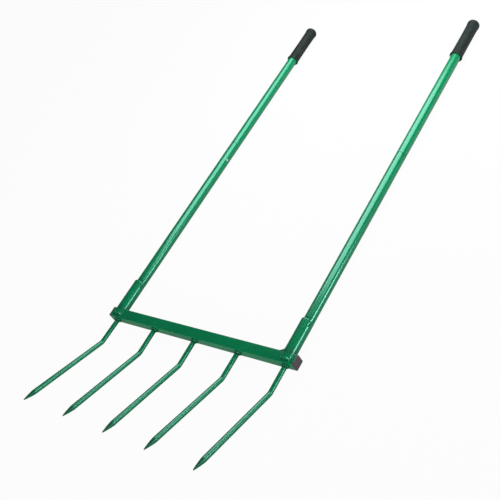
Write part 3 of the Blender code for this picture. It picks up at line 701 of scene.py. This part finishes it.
def build_upper_tube(side):
    """Tube from the mid joint into the grip, with its spigot and key."""
    bottom = SEAM_Y - SPIGOT_LENGTH
    profile = arc(SPIGOT_BORE + EDGE, bottom + EDGE, EDGE, 180, 270, 3) + arc(SPIGOT_RADIUS - EDGE, bottom + EDGE, EDGE, 270, 360, 3)
    profile += [(SPIGOT_RADIUS, y) for y in steps_between(bottom + EDGE, SEAM_Y, 16)][1:]
    profile += arc(HANDLE_RADIUS - EDGE, SEAM_Y + EDGE, EDGE, 270, 360, 3)
    profile += [(HANDLE_RADIUS, y) for y in steps_between(SEAM_Y + EDGE, TUBE_END - EDGE, 70)][1:-1]
    profile += arc(HANDLE_RADIUS - EDGE, TUBE_END - EDGE, EDGE, 0, 90, 3) + arc(BORE + EDGE, TUBE_END - EDGE, EDGE, 90, 180, 3)
    profile += [(BORE, y) for y in steps_between(TUBE_END - EDGE, SEAM_Y + 6.0 * MM, 40)][1:]
    profile += [(SPIGOT_BORE, y) for y in steps_between(SEAM_Y + 3.0 * MM, bottom + EDGE, 16)][:-1]
    tube = shape(f"upper_tube_{side}", turned(profile, closed=True), handle_frame(side))
    radius = KEY_WIDTH / 2
    start = SPIGOT_RADIUS - HANDLE_WALL / 2
    top = SPIGOT_RADIUS + KEY_PROUD
    dome = [(0, start), (radius, start), (radius, top - 0.8 * MM)] + arc(radius - 0.8 * MM, top - 0.8 * MM, 0.8 * MM, 0, 90, 6)[1:] + [(0, top)]
    key = shape("key", turned(dome, 40), radial_frame(side, PIN_AZIMUTH[side] + math.pi, KEY_Y))
    hole = slot_tool(side, PIN_WIDTH, PIN_WIDTH, PIN_AZIMUTH[side], PIN_Y, SPIGOT_BORE / 2, 2 * HANDLE_RADIUS)
    boolean(tube, key, 'UNION')
    boolean(tube, hole)
    settle(tube, [key, hole])
    return tube


for side in SIDES:
    finish_piece(build_upper_tube(side), tube_enamel, "handle_paint", f"upper_handle_{side}")

# %% [markdown]
# ## Welds
#
# A weld bead is laid in small overlapping pools, so it follows a path and its ripples repeat.
# That is work for Geometry Nodes: a path goes in, it is resampled finely, a circle is swept along
# it, and each vertex is pushed out by a scalloped wave of the distance along the path.  The wave
# lags towards the bead's sides, as the ripples of a real bead do.

# %% Tree that lays a weld bead
BEAD_INPUTS = {"Radius": 2.0 * MM, "Pitch": 1.7 * MM, "Ripple": 0.28 * MM, "Lag": 0.35, "Unevenness": 0.25 * MM, "Seed": 0.0}


def draw_bead_tree():
    """Path, resampled, swept, rippled."""
    tree, path, size = new_tree("weld_bead", BEAD_INPUTS)
    fine = add_node(tree, "GeometryNodeResampleCurve", {"mode": 'LENGTH'}, Curve=path, Length=0.3 * MM)
    step = tree.nodes.new("GeometryNodeSplineParameter")
    line, along = remember(tree, fine.outputs[0], "along", Number(tree, step.outputs["Length"]))
    ring = add_node(tree, "GeometryNodeCurvePrimitiveCircle", Resolution=20, Radius=1.0)
    section, around = remember(tree, ring.outputs[0], "around", Number(tree, step.outputs["Factor"]))
    swept = add_node(
        tree, "GeometryNodeCurveToMesh", Curve=line, Profile_Curve=section, Scale=size["Radius"], Fill_Caps=True,
    )
    lag = (around * math.tau).math('COSINE') * size["Lag"]
    wave = (along / size["Pitch"] + lag).math('FRACT')
    pool = (wave * (1.0 - wave) * 4.0).math('SQRT')
    push = add_node(tree, "ShaderNodeVectorMath", {"operation": 'SCALE'}, Scale=(pool - 0.6) * size["Ripple"])
    plug(tree, tree.nodes.new("GeometryNodeInputNormal").outputs[0], push.inputs[0])
    rippled = add_node(tree, "GeometryNodeSetPosition", Geometry=swept.outputs[0], Offset=push.outputs[0]).outputs[0]
    # Painted shade: the whole bead darker than the paint round it, darkest in the valleys between its ripples.
    body, _ = remember(tree, rippled, "painted_shade", 0.85 - pool * 0.5)
    end_tree(tree, roughen(tree, body, size["Unevenness"], 240.0, size["Seed"]), weld_enamel)
    return tree


def path_object(points, closed=False):
    """A curve of straight pieces through some points."""
    data = bpy.data.curves.new("path", 'CURVE')
    data.dimensions = '3D'
    spline = data.splines.new('POLY')
    spline.points.add(len(points) - 1)
    for spot, point in zip(spline.points, points):
        spot.co = (*point, 1.0)
    spline.use_cyclic_u = closed
    path = bpy.data.objects.new("path", data)
    bpy.context.collection.objects.link(path)
    return path


bead_tree = draw_bead_tree()

# %% Welds round the tine roots
for number, x in enumerate(TINE_XS, 1):
    reach = TINE_RADIUS + 1.3 * MM
    circle = [Vector((x + a, -BAR_SIDE / 2 - 1.2 * MM, BAR_SIDE / 2 + b)) for a, b in arc(0, 0, reach, 0, 360, 48)[:-1]]
    ripples = round(math.tau * reach / (1.7 * MM))
    bead = grow(
        f"tine_weld_{number}", bead_tree,
        {"Pitch": math.tau * reach / ripples, "Seed": number, "Radius": 2.0 * MM}, path_object(circle, closed=True),
    )
    finish_piece(bead, weld_enamel, "tine_paint", sharp=60.0)


# %% Welds at the sockets' feet
def foot_path(side):
    """Down beside the lip from the crossbar's top and round its end, and the tube's centre."""
    centre = Vector((SIDES[side] * HANDLE_X, 0, HANDLE_Z + SOCKET_AHEAD))
    front = BAR_SIDE + 0.3 * MM
    half = math.sqrt(SOCKET_RADIUS ** 2 - (front - centre.z) ** 2)
    bottom = BAR_TOP - SOCKET_LIP
    down = [(half + 0.5 * MM, BAR_TOP - 1.0 * MM), (half + 0.5 * MM, bottom + LIP_ROUND)]
    down += arc(half - LIP_ROUND + 0.5 * MM, bottom + LIP_ROUND, LIP_ROUND, 0, -90, 6)[1:]
    return [Vector((centre.x + a, b, front)) for a, b in down], centre


for side in SIDES:
    right_leg, centre = foot_path(side)
    mirror = [Vector((2 * centre.x - spot.x, spot.y, spot.z)) for spot in reversed(right_leg)]
    lip = grow(f"lip_weld_{side}", bead_tree, {"Seed": 11.0, "Radius": 1.6 * MM}, path_object(right_leg + mirror))
    finish_piece(lip, weld_enamel, "socket_paint", sharp=60.0)
    reach = SOCKET_RADIUS + 0.8 * MM
    start = math.degrees(math.acos((BAR_SIDE - 2.0 * MM - centre.z) / reach))
    ring = [
        Vector((centre.x + b, BAR_TOP + 0.8 * MM, centre.z + a))
        for a, b in arc(0, 0, reach, start, 360 - start, 60)
    ]
    foot = grow(f"foot_weld_{side}", bead_tree, {"Seed": 23.0, "Radius": 1.9 * MM}, path_object(ring))
    finish_piece(foot, weld_enamel, "socket_paint", sharp=60.0)

# %% [markdown]
# ## Rubber grips
#
# A grip is one moulding of dark rubber, pushed over the tube's end: a flange and a groove at the
# bottom, a body that narrows a little in the middle, and a wider, rounded head.  Rubber has a
# broad, weak sheen and a fine grain from the mould.

# %% Rubber finish
def rubber(name):
    """Moulded dark rubber with a green-grey cast and fine grain."""
    finish, tree, shader, place = new_finish(name)
    worn = (noise(tree, place, 35.0, 4.0, 0.6) - 0.35) * 2.2
    plug(tree, mix(tree, worn.clamp(0.0, 1.0), (0.006, 0.009, 0.0085), (0.012, 0.018, 0.017)), shader.inputs["Base Color"])
    plug(tree, noise(tree, place, 90.0, 3.0) * 0.14 + 0.32, shader.inputs["Roughness"])
    shader.inputs["Specular IOR Level"].default_value = 0.06
    grain = noise(tree, place, 1900.0, 2.0) * 0.6 + noise(tree, place, 600.0, 1.0)
    relief(tree, grain, 0.05 * MM, shader)
    return finish


grip_rubber = rubber("grip_rubber")


# %% Grips
def build_grip(side):
    """Flange, groove, waisted body, rounded head; closed at the top."""
    bore = HANDLE_RADIUS + GAP
    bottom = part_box(f"grip_{side}")[0][1]
    flange = 5.0 * MM
    lobe = flange / 2
    groove = bottom + flange + 0.4 * MM
    body_start = groove + 3.0 * MM
    head_start = HANDLE_TOP - 14.0 * MM
    closed_end = HANDLE_TOP - 4.0 * MM
    profile = [(0.0, closed_end), (bore, closed_end), (bore, bottom)]
    profile += arc(bore + 3.7 * MM - lobe, bottom + lobe, lobe, 270, 450, 14)
    profile += [(bore + 1.4 * MM, groove + 0.2 * MM), (bore + 1.4 * MM, body_start - 0.6 * MM)]
    profile += arc(bore + 1.7 * MM, body_start + 0.2 * MM, 0.6 * MM, 225, 360, 5)[1:-1]
    for step in range(31):
        part = step / 30
        y = body_start + 0.8 * MM + (head_start - 1.6 * MM - body_start) * part
        profile.append((bore + 2.3 * MM - 0.4 * MM * math.sin(math.pi * part), y))
    profile += [(bore + 1.5 * MM, head_start - 0.9 * MM), (bore + 1.5 * MM, head_start + 0.1 * MM)]
    profile += [(bore + 2.7 * MM, head_start + 0.4 * MM), (bore + 3.0 * MM, head_start + 1.2 * MM)]
    profile += arc(bore + 3.1 * MM - 8.0 * MM, HANDLE_TOP - 8.0 * MM, 8.0 * MM, 0, 90, 16)
    profile += [(0.0, HANDLE_TOP)]
    return shape(f"rubber_grip_{side}", turned(profile, 128), handle_frame(side))


for side in SIDES:
    finish_piece(build_grip(side), grip_rubber, "grip_rubber", f"grip_{side}", sharp=50.0)

# %% [markdown]
# ## End plugs
#
# The crossbar's open ends are closed with moulded plastic plugs: a flat plate with a soft edge
# and a hollow shank that grips inside the tube.

# %% Plastic finish and plugs
def plastic(name):
    """Black moulded polyethylene, slightly violet, with a satin skin."""
    finish, tree, shader, place = new_finish(name)
    cloud = (noise(tree, place, 70.0, 3.0) - 0.3) * 2.0
    plug(tree, mix(tree, cloud.clamp(0.0, 1.0), (0.030, 0.022, 0.029), (0.052, 0.038, 0.049)), shader.inputs["Base Color"])
    plug(tree, noise(tree, place, 240.0, 2.0) * 0.14 + 0.38, shader.inputs["Roughness"])
    relief(tree, noise(tree, place, 1100.0, 2.0), 0.04 * MM, shader)
    return finish


plug_plastic = plastic("plug_plastic")


def build_plug(side):
    """Plate over the end, hollow shank inside."""
    turn = Matrix.Translation((SIDES[side] * (BAR_HALF + GAP), 0, BAR_SIDE / 2)) @ Matrix.Rotation(math.radians(90) * SIDES[side], 4, 'Y')
    bm = raised(square_outline(BAR_SIDE, BAR_CORNER), 0.0, 2.5 * MM)
    rim = [edge for edge in bm.edges if all(vert.co.z > 1.0 * MM for vert in edge.verts)]
    bmesh.ops.bevel(bm, geom=rim, offset=0.7 * MM, segments=5, profile=0.5, affect='EDGES')
    plate = shape(f"end_plug_{side}", bm, turn)
    shank_side = BAR_SIDE - 2 * BAR_WALL - 2 * GAP
    shank = shape("shank", raised(square_outline(shank_side, 1.5 * MM), -13.0 * MM, 1.2 * MM), turn)
    hollow = shape("hollow", raised(square_outline(shank_side - 3.2 * MM, 0.7 * MM), -26.0 * MM, 0.0), turn)
    boolean(plate, shank, 'UNION')
    boolean(plate, hollow)
    settle(plate, [shank, hollow])
    return plate


for side in SIDES:
    finish_piece(build_plug(side), plug_plastic, "cap_plastic", f"end_cap_{side}")

# %% [markdown]
# ## Lock buttons and springs
#
# The button in a socket is an oblong pressing with a hollow for the fingertip, enamelled with the
# rest.  The one below the mid joint is a small round pin of bright steel.  Both are pushed out
# from inside by hairpin springs, and each rides on its own body, because it can be pressed in.

# %% Zinc and spring steel finishes
def steel(name, bright, dark, roughness):
    """Bare steel with fine scratches and a little tarnish."""
    finish, tree, shader, place = new_finish(name)
    tarnish = (noise(tree, place, 300.0, 3.0) - 0.35) * 2.2
    plug(tree, mix(tree, tarnish.clamp(0.0, 1.0), dark, bright), shader.inputs["Base Color"])
    plug(tree, noise(tree, place, 700.0, 2.0) * 0.14 + roughness, shader.inputs["Roughness"])
    shader.inputs["Metallic"].default_value = 1.0
    relief(tree, noise(tree, place, 1500.0, 2.0), 0.02 * MM, shader)
    return finish


pin_steel = steel("pin_steel", (0.50, 0.60, 0.54), (0.30, 0.38, 0.34), 0.26)
spring_steel = steel("spring_steel", (0.36, 0.36, 0.38), (0.20, 0.19, 0.19), 0.30)


# %% Buttons
FLANGE_REACH = 1.5 * MM
FLANGE_THICKNESS = 1.1 * MM


def flange_height(width, tube_bore):
    """How far out a button's flange can go inside its tube."""
    return math.sqrt(tube_bore ** 2 - (width / 2 + FLANGE_REACH) ** 2) - GAP


def build_button(name, side, width, length, tube_bore, top, dish, azimuth, height):
    """A raised button with a flange that keeps it inside the tube."""
    flange_top = flange_height(width, tube_bore)
    flange_bottom = flange_top - FLANGE_THICKNESS
    shoulder = 0.9 * MM
    rows = [(FLANGE_REACH, flange_bottom), (FLANGE_REACH, flange_top), (0.0, flange_top)]
    if dish > 0:
        rows += [(0.0, top - 0.2 * MM), (-0.15 * MM, top), (-0.4 * MM, top)]
        rows += [(-0.4 * MM - shoulder * (1 - math.cos(t)), top - dish * math.sin(t)) for t in (0.35, 0.7, 1.05, math.pi / 2)]
    else:
        rows += [(-shoulder * (1 - math.cos(t)), top - shoulder * (1 - math.sin(t))) for t in (0.0, 0.3, 0.6, 0.9, 1.2)]
        rows += [(-shoulder - 0.6 * MM, top)]
    bm = bmesh.new()
    loops = []
    for grow_by, z in rows:
        outline = oblong(width + 2 * grow_by, length + 2 * grow_by)
        loops.append([bm.verts.new((x, y, z)) for x, y in outline])
    for lower, upper in zip(loops, loops[1:]):
        for i in range(len(lower)):
            bm.faces.new((lower[i - 1], lower[i], upper[i], upper[i - 1]))
    bm.faces.new(loops[0])
    bm.faces.new(loops[-1])
    return shape(name, bm, radial_frame(side, azimuth, height))


aside = SOCKET_AHEAD * math.sin(BUTTON_AZIMUTH)
skin = SOCKET_AHEAD * math.cos(BUTTON_AZIMUTH) + math.sqrt(SOCKET_RADIUS ** 2 - aside ** 2)
for side in SIDES:
    lock = build_button(
        f"lock_button_{side}", side, BUTTON_WIDTH, BUTTON_LENGTH, FOOT_BORE, skin - 0.1 * MM, 1.2 * MM,
        BUTTON_AZIMUTH, BUTTON_Y,
    )
    finish_piece(lock, tube_enamel, "socket_button_paint", f"socket_button_{side}", body=f"socket_button_{side}", sharp=50.0)
    pin = build_button(
        f"lock_pin_{side}", side, PIN_WIDTH, PIN_WIDTH, SPIGOT_BORE, HANDLE_RADIUS + 0.7 * MM, 0.0,
        PIN_AZIMUTH[side], PIN_Y,
    )
    finish_piece(pin, pin_steel, "mid_button_steel", f"mid_button_{side}", body=f"mid_button_{side}", sharp=50.0)

# %% [markdown]
# ## Hairpin springs
#
# Behind each button sits a strip of spring steel bent like a hairpin: one leg bears on the
# button, the other on the far wall of the tube. When the button goes in, the hairpin closes.

# %% Springs
LEAF_WIDTH = 7.0 * MM
LEAF_THICKNESS = 0.6 * MM
LEAF_REACH = 34.0 * MM
LEAF_TAIL = 9.0 * MM
PRESS = 3.0 * MM


def build_spring(name, side, width, tube_bore, azimuth, height):
    """Sweep the leaf along its hairpin; also gives the place and share for the squash."""
    half = LEAF_THICKNESS / 2
    near = flange_height(width, tube_bore) - FLANGE_THICKNESS - GAP - half
    far = math.sqrt(tube_bore ** 2 - (LEAF_WIDTH / 2) ** 2) - GAP - half
    path = [(-LEAF_TAIL, near), (0.0, near), (LEAF_TAIL, near)]
    path += arc(LEAF_REACH, (near - far) / 2, (near + far) / 2 - LEAF_THICKNESS, 90, -90, 24)
    path += [(LEAF_TAIL, -far), (0.0, -far), (-LEAF_TAIL, -far)]
    bm = bmesh.new()
    loops = []
    for index, (along, out) in enumerate(path):
        before = Vector(path[max(index - 1, 0)])
        heading = (Vector(path[min(index + 1, len(path) - 1)]) - before).normalized() * half
        corners = ((-1, -1), (1, -1), (1, 1), (-1, 1))
        loops.append([
            bm.verts.new((across * LEAF_WIDTH / 2, along - face * heading.y, out + face * heading.x))
            for across, face in corners
        ])
    for lower, upper in zip(loops, loops[1:]):
        for i in range(4):
            bm.faces.new((lower[i - 1], lower[i], upper[i], upper[i - 1]))
    bm.faces.new(loops[0])
    bm.faces.new(loops[-1])
    place = radial_frame(side, azimuth, height)
    spring = shape(name, bm, place)
    outward = place.to_3x3() @ Vector((0.0, 0.0, 1.0))
    return spring, outward, place @ Vector((0.0, 0.0, -far)), 1.0 - PRESS / (near + half + far)


for side in SIDES:
    for kind, width, tube_bore, azimuth, height in (
        ("socket_button", BUTTON_WIDTH, FOOT_BORE, BUTTON_AZIMUTH, BUTTON_Y),
        ("mid_button", PIN_WIDTH, SPIGOT_BORE, PIN_AZIMUTH[side], PIN_Y),
    ):
        spring, outward, anchor, keep = build_spring(f"{kind}_leaf_{side}", side, width, tube_bore, azimuth, height)
        finish_piece(spring, spring_steel, "spring_steel", f"{kind}_spring_{side}", sharp=40.0)
        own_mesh(spring)

# %% [markdown]
# ## Floor, light and background
#
# The photograph is a product picture on white.  Two soft boxes light the tubes: one low on the
# right gives the narrow streak, and a large one above on the left gives the broad one.  The floor
# is a pale grey board for the light that bounces off it, and the camera and mirror rays see it
# nearly white, so the background stays clean and the fork keeps a soft shadow under it.

# %% Floor
SEEN_WHITE = 0.96              # how white the camera sees the floor and the background
MIRRORED_WHITE = 0.12          # how much of that the enamel mirrors


def build_floor():
    """A large flat sheet under the fork, just below zero."""
    bm = bmesh.new()
    bmesh.ops.create_grid(bm, x_segments=8, y_segments=8, size=8.0)
    floor = shape("floor", bm)
    for vert in floor.data.vertices:
        vert.co.z = -0.2 * MM
    return floor


floor = build_floor()
board, tree, shader, place = new_finish("floor_board")
shader.inputs["Roughness"].default_value = 0.9
shader.inputs["Specular IOR Level"].default_value = 0.1
plug(tree, mix(tree, noise(tree, place, 3.0), (0.29, 0.29, 0.29), (0.31, 0.31, 0.31)), shader.inputs["Base Color"])
rays = tree.nodes.new("ShaderNodeLightPath")
mirrored = Number(tree, rays.outputs["Is Glossy Ray"]) + Number(tree, rays.outputs["Is Transmission Ray"])
seen = (Number(tree, rays.outputs["Is Camera Ray"]) * SEEN_WHITE + mirrored * MIRRORED_WHITE).math('MINIMUM', 1.0)
white = add_node(tree, "ShaderNodeEmission", Strength=1.0)
white.inputs["Color"].default_value = (1.0, 1.0, 1.0, 1.0)
blend = tree.nodes.new("ShaderNodeMixShader")
plug(tree, seen, blend.inputs[0])
plug(tree, shader.outputs[0], blend.inputs[1])
plug(tree, white.outputs[0], blend.inputs[2])
plug(tree, blend.outputs[0], tree.nodes["Material Output"].inputs["Surface"])
floor.data.materials.append(board)


# %% Soft boxes and world
def soft_box(name, at, aim, width, height, watts, colour=(1.0, 1.0, 1.0)):
    """A rectangular lamp that points at a spot on the fork."""
    data = bpy.data.lights.new(name, 'AREA')
    data.shape = 'RECTANGLE'
    data.size = width
    data.size_y = height
    data.energy = watts
    data.color = colour
    lamp = bpy.data.objects.new(name, data)
    lamp.visible_camera = False
    bpy.context.collection.objects.link(lamp)
    direction = Vector(aim) - Vector(at)
    lamp.matrix_world = Matrix.Translation(at) @ direction.to_track_quat('-Z', 'Y').to_matrix().to_4x4()
    return lamp


HORIZON = 0.20
ZENITH = 0.10
HORIZON_TOP = 0.10
HORIZON_FADE = 0.30
soft_box("right_strip", (2.1, 1.0, 0.28), (0.1, 0.2, 0.1), 0.3, 0.52, 12.5)
soft_box("top_box", (0.2, 1.07, 0.79), (0.2, 1.07, 0.0), 1.3, 1.04, 35.0)
soft_box("socket_box", (2.1, 0.52, 0.40), (0.1, 0.1, 0.1), 0.4, 0.62, 16.0)
soft_box("back_box", (0.2, 4.2, 0.75), (0.2, 1.0, 0.0), 3.0, 0.8, 60.0)
soft_box("foot_box", (0.6, -2.2, 0.7), (0.0, 0.0, 0.1), 1.8, 1.0, 92.0)

world = bpy.data.worlds.new("studio")
world.use_nodes = True
bpy.context.scene.world = world
air = world.node_tree
background = air.nodes["Background"]
background.inputs["Color"].default_value = (1.0, 1.0, 1.0, 1.0)
up = add_node(air, "ShaderNodeSeparateXYZ", Vector=air.nodes.new("ShaderNodeTexCoord").outputs["Generated"])
height = ((Number(air, up.outputs["Z"]) - HORIZON_TOP) / (HORIZON_FADE - HORIZON_TOP)).clamp(0.0, 1.0)
sky = height * (ZENITH - HORIZON) + HORIZON
direct = Number(air, air.nodes.new("ShaderNodeLightPath").outputs["Is Camera Ray"])
plug(air, sky * (1.0 - direct) + direct * SEEN_WHITE, background.inputs["Strength"])
bpy.context.scene.view_settings.view_transform = 'Standard'
print("lamps and world ready")
